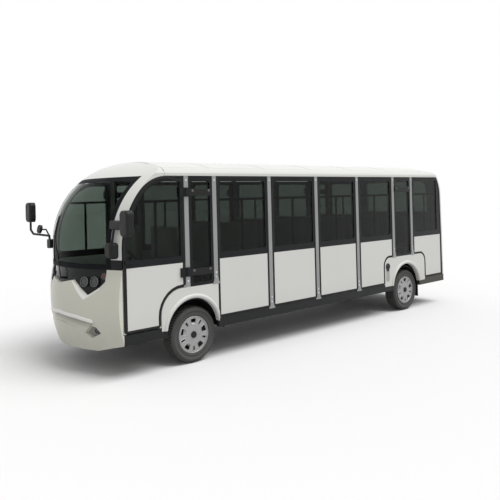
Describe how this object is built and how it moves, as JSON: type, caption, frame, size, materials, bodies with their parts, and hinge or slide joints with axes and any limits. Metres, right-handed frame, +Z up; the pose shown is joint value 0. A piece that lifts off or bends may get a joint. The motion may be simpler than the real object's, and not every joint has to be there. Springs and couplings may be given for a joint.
{
  "type": "enclosed electric sightseeing bus",
  "caption": "Enclosed electric sightseeing bus with a rounded front, hinged side doors, tinted windows, bench seats and steered front wheels.",
  "frame": {"origin": "on the ground under the middle of the bus's box", "axes": "+X forward, +Y to the bus's left, +Z up"},
  "size_m": [5.8556, 2, 2.06],
  "materials": {
    "body_white": "gloss",
    "pillar_grey": "satin",
    "trim_black": "satin",
    "rubber_black": "matte",
    "tyre_black": "matte",
    "wheel_silver": "satin",
    "glass_tinted": "gloss",
    "chassis_black": "satin",
    "floor_vinyl": "matte",
    "seat_vinyl": "satin",
    "dash_plastic": "matte",
    "lamp_chrome": "gloss",
    "lamp_red": "gloss"
  },
  "bodies": {
    "body_shell": {"arch_panels": "body_white", "battery_pack": "chassis_black", "charge_port": "trim_black", "chassis_frame": "chassis_black", "dashboard": "dash_plastic", "end_panels": "body_white", "floor_pan": "floor_vinyl", "front_axle": "chassis_black", "front_panel": "body_white", "front_pillars": "body_white", "head_lamps": "lamp_chrome", "lamp_bezels": "trim_black", "mirrors": "trim_black", "mud_flaps": "rubber_black", "pillars": "pillar_grey", "rear_axle": "chassis_black", "rear_bumper": "trim_black", "rear_glass": "glass_tinted", "rear_panel": "body_white", "roof_panel": "body_white", "row_panels_left": "body_white", "seat_backs": "seat_vinyl", "seat_cushions": "seat_vinyl", "seat_frames": "chassis_black", "side_glass": "glass_tinted", "sills": "trim_black", "tail_lamps": "lamp_red", "wheel_housings": "trim_black", "windscreen": "glass_tinted", "wiper": "trim_black"},
    "door_driver": {"door_driver": "body_white", "door_driver_glass": "glass_tinted"},
    "door_front_right": {"door_front_right": "body_white", "door_front_right_glass": "glass_tinted"},
    "door_row_1": {"door_row_1": "body_white", "door_row_1_glass": "glass_tinted"},
    "door_row_2": {"door_row_2": "body_white", "door_row_2_glass": "glass_tinted"},
    "door_row_3": {"door_row_3": "body_white", "door_row_3_glass": "glass_tinted"},
    "door_row_4": {"door_row_4": "body_white", "door_row_4_glass": "glass_tinted"},
    "knuckle_left": {"knuckle_left": "chassis_black"},
    "knuckle_right": {"knuckle_right": "chassis_black"},
    "wheel_front_left": {"wheel_front_left": "wheel_silver", "tyre_front_left": "tyre_black"},
    "wheel_front_right": {"wheel_front_right": "wheel_silver", "tyre_front_right": "tyre_black"},
    "wheel_rear_left": {"wheel_rear_left": "wheel_silver", "tyre_rear_left": "tyre_black"},
    "wheel_rear_right": {"wheel_rear_right": "wheel_silver", "tyre_rear_right": "tyre_black"},
    "steering_wheel": {"steering_wheel": "trim_black"}
  },
  "joints": [
    {"name": "door_driver_hinge", "type": "hinge", "parent": "body_shell", "child": "door_driver", "pos_m": [1.9365, 0.772, 1.32], "axis": [0, 0, 1], "range_deg": [0, 80]},
    {"name": "door_front_right_hinge", "type": "hinge", "parent": "body_shell", "child": "door_front_right", "pos_m": [1.9365, -0.772, 1.32], "axis": [0, 0, -1], "range_deg": [0, 80]},
    {"name": "door_row_1_hinge", "type": "hinge", "parent": "body_shell", "child": "door_row_1", "pos_m": [0.7835, -0.772, 1.32], "axis": [0, 0, -1], "range_deg": [0, 80]},
    {"name": "door_row_2_hinge", "type": "hinge", "parent": "body_shell", "child": "door_row_2", "pos_m": [-0.0035, -0.772, 1.32], "axis": [0, 0, -1], "range_deg": [0, 80]},
    {"name": "door_row_3_hinge", "type": "hinge", "parent": "body_shell", "child": "door_row_3", "pos_m": [-0.7995, -0.772, 1.32], "axis": [0, 0, -1], "range_deg": [0, 80]},
    {"name": "door_row_4_hinge", "type": "hinge", "parent": "body_shell", "child": "door_row_4", "pos_m": [-1.5975, -0.772, 1.32], "axis": [0, 0, -1], "range_deg": [0, 80]},
    {"name": "steer_left", "type": "hinge", "parent": "body_shell", "child": "knuckle_left", "pos_m": [1.819, 0.535, 0.283], "axis": [0, 0, 1], "range_deg": [-30, 30]},
    {"name": "steer_right", "type": "hinge", "parent": "body_shell", "child": "knuckle_right", "pos_m": [1.819, -0.535, 0.283], "axis": [0, 0, 1], "range_deg": [-30, 30]},
    {"name": "roll_front_left", "type": "hinge", "parent": "knuckle_left", "child": "wheel_front_left", "pos_m": [1.819, 0.6425, 0.283], "axis": [0, 1, 0], "continuous": true},
    {"name": "roll_front_right", "type": "hinge", "parent": "knuckle_right", "child": "wheel_front_right", "pos_m": [1.819, -0.6425, 0.283], "axis": [0, 1, 0], "continuous": true},
    {"name": "roll_rear_left", "type": "hinge", "parent": "body_shell", "child": "wheel_rear_left", "pos_m": [-1.939, 0.6425, 0.283], "axis": [0, 1, 0], "continuous": true},
    {"name": "roll_rear_right", "type": "hinge", "parent": "body_shell", "child": "wheel_rear_right", "pos_m": [-1.939, -0.6425, 0.283], "axis": [0, 1, 0], "continuous": true},
    {"name": "steering_wheel_turn", "type": "hinge", "parent": "body_shell", "child": "steering_wheel", "pos_m": [2.35, 0.37, 1.04], "axis": [-0.8192, 0, 0.5736], "range_deg": [-450, 450]}
  ],
  "couplings": [
    {"joint": "steer_right", "follows": "steer_left", "ratio": 1},
    {"joint": "steering_wheel_turn", "follows": "steer_left", "ratio": 15}
  ]
}
